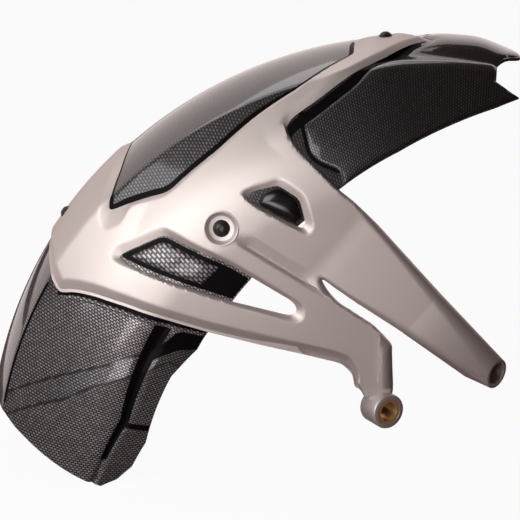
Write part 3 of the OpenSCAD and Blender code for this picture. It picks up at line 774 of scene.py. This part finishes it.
def slot_floor_kept(phi, s):
    """Painted shade on the slot's floor, 2.2 mm inside the slot."""
    x, z, low = on_shell(phi, s)[:3]
    return np.minimum(inside(soft_slot, x, z) - 2.2, low - 1.2)


def eye_kept(phi, s):
    """The right part of the eye: 13.5 mm about a line from (-80, 159) to (-66, 150)."""
    x, z, low = on_shell(phi, s)[:3]
    t = np.clip(((x + 80.0) * 14.0 - (z - 159.0) * 9.0) / 277.0, 0.0, 1.0)
    ball = 13.5 - np.hypot(x + 80.0 - 14.0 * t, z - 159.0 + 9.0 * t)
    return np.minimum.reduce([inside(soft_eye, x, z) - 0.8, ball, low - 3.0])


def ridge_kept(phi, s):
    """A strip 3.4 mm wide that runs 3.5 mm below the carrier's lower edge."""
    x, z, low = on_shell(phi, s)[:3]
    away = np.abs(-inside(soft_outline, x, z) - 5.2)
    return np.minimum.reduce([1.7 - away, -122.0 - x, x + 243.0, 93.0 - z, low - 1.5])


def gap_kept(phi, s):
    """Strips of painted shade in the gaps beside the carrier, each running 1 mm under it: 3 to 5.2 mm
    inside the window, 4.3 mm behind the strap and 3.4 mm below the lower edge. Two more strips of
    painted shade run along the front crease, 2.2 mm wide, and along the tail panel's start, 2.8 mm wide."""
    x, z, low, d, y = on_shell(phi, s)
    lens, tail = inside(soft_lens, x, y), inside(soft_tail, x, y)
    edge = -inside(soft_outline, x, z)
    lens = np.minimum.reduce([3.0 + 2.2 * ease((d - 8.0) / 12.0) - lens, lens + 1.0, z - 130.0, -x - 20.0])
    tail = np.minimum.reduce([4.3 - tail, tail + 1.0, z - 186.0, 30.0 - x, x + 76.0])
    edge = np.minimum.reduce([3.4 - edge, edge + 1.0, 93.0 - z, x + 248.0, -112.0 - x])
    crease = np.minimum.reduce([1.1 - np.abs(s - crease_s - 1.5), phi - 150.0, 168.0 - phi])
    start = -inside(soft_start, x, z)
    start = np.minimum.reduce([2.8 - start, start + 1.0, z - 184.0, 225.0 - z, -28.0 - x])
    return np.minimum(np.maximum.reduce([lens, tail, edge, start, crease]), low - 1.0)


def band_kept(phi, s):
    """Painted shade in the groove: its width about the lip line, from the slot to the front end, a branch and
    a fold.
    """
    x, z, low, d = on_shell(phi, s)[:4]
    wide = np.interp(phi, [143, 150, 157, 163, 173], [6.5, 5.5, 4.5, 3.5, 2.0])
    band = np.minimum.reduce([wide - np.abs(d - lip_depth(phi) - 1.5), np.radians(171.5 - phi) * 240.0,
                              np.radians(phi - 141.8) * 250.0])
    return np.minimum(np.maximum.reduce([band, inside(soft_branch, x, z), inside(soft_fold, x, z)]),
                      low - 0.6)


# Plain black without weave: satin black as painted shade in the gaps beside the carrier, on the slot's floor
# and in the groove, gloss on the bulge.
blacks = []
for name, rough, shine_level in (("painted_shade_satin_black", 0.35, 0.04), ("plain_gloss_black", 0.22, 0.5)):
    black = bpy.data.materials.new(name)
    black.use_nodes = True
    shine = black.node_tree.nodes["Principled BSDF"]
    shine.inputs["Base Color"].default_value = linear("#0b090a")
    shine.inputs["Roughness"].default_value = rough
    shine.inputs["Specular IOR Level"].default_value = shine_level
    blacks.append(black)
shade_black, gloss_black = blacks
# The tail panel's weave: finer threads, and darker ones, whose darkness is painted shade on the tail.
fine = weave_coat("clear_coated_woven_black_fine", 2.6, 1.8, "#6f6568")
# The crown copy of the fine weave mirrors more: painted reflection on the crown.
fine_crown_reflection = weave_coat("clear_coated_woven_black_fine_crown", 2.6, 1.8, "#6f6568", 1.75)
coarse = weave_coat("clear_coated_woven_black_coarse", 5.0, 3.0, "#bdb4b7")
for name, kept, reach, rise, span, coat in (
        ("tail_panel", tail_kept, 5.0, 2.0, ((76.0, 112.0), (-150.0, 170.0), 0.3, 1.6), fine),
        ("slot_panel", slot_kept, 4.0, 2.2, ((116.0, 150.0), (60.0, 190.0), 0.25, 1.2), coarse),
        # The slot's floor in satin black: painted shade around the panel.
        ("slot_floor", slot_floor_kept, 1.0, 0.3, ((116.0, 150.0), (60.0, 190.0), 0.25, 1.2), shade_black),
        ("eye_bulge", eye_kept, 9.0, 4.5, ((108.0, 122.0), (60.0, 170.0), 0.2, 1.0), gloss_black),
        ("ridge_strip", ridge_kept, 1.7, 1.8, ((138.0, 156.0), (40.0, 230.0), 0.15, 0.8), woven),
        # Painted shade in the gaps beside the carrier, the tail panel's start and along the front crease.
        ("gap_painted_shade", gap_kept, 0.6, 0.22, ((88.0, 170.0), (-18.0, 230.0), 0.2, 1.0), shade_black),
        # Painted shade along the groove, a branch and a fold.
        ("groove_painted_shade", band_kept, 1.0, 0.35, ((141.0, 176.0), (100.0, 240.0), 0.2, 1.0), shade_black)):
    points, faces = cut_sheet(*span, kept,
                              lambda phi, s: shell_surface(phi, s, rounded(kept(phi, s), reach, rise)),
                              lambda phi, s: shell_surface(phi, s, -0.6))
    # Each point's length across the section: by its width on the crown, where the first 100 mm of
    # the section are enough, and by its depth on the flank.
    wide = np.abs(points[:, 1] - mid_y)
    depth = arc_r - np.hypot(points[:, 0] - arc_x, points[:, 2] - arc_z)
    length = np.where(wide < crown_half, np.interp(wide, section[1][:400], section[0][:400]),
                      length_at(depth))
    turn = np.arctan2(points[:, 2] - arc_z, points[:, 0] - arc_x)
    threads = np.stack([length * 0.001, turn * 0.3], axis=-1)
    # Painted sheen and shade on the weave's dots: dimmer towards the tail and on the crown.
    dot_light = 0.3 + 0.7 * ease((turn - 1.62) / 0.26)
    dot_light = 0.1 + (dot_light - 0.1) * ease((length - crease_s + 4.0) / 8.0)
    panel = make_mesh(name, points, faces, 40.0, threads, dot_light)
    panel.data.materials.append(coat)
    if name == "tail_panel":
        panel.data.materials.append(fine_crown_reflection)
        give_crown_painted_reflection(panel, faces, length)
    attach(panel, "root")

# The bush is turned brass; the screws are blackened steel and the nuts zinc plated.
for name, hexcode, rough, nodes in (
        ("turned_brass", "#dcb074", 0.35, ["lower_arm_bush"]),
        ("blackened_steel", "#3a3536", 0.35, ["crown_screw_front", "crown_screw_rear", "side_screw"]),
        ("zinc_plated_steel", "#b9bcc0", 0.38, ["crown_nut_front", "crown_nut_rear", "side_nut"])):
    metal = bpy.data.materials.new(name)
    metal.use_nodes = True
    shine = metal.node_tree.nodes["Principled BSDF"]
    shine.inputs["Base Color"].default_value = linear(hexcode)
    shine.inputs["Metallic"].default_value = 0.65
    shine.inputs["Roughness"].default_value = rough
    for node in nodes:
        for slot in bpy.data.objects[node].material_slots:
            slot.material = metal
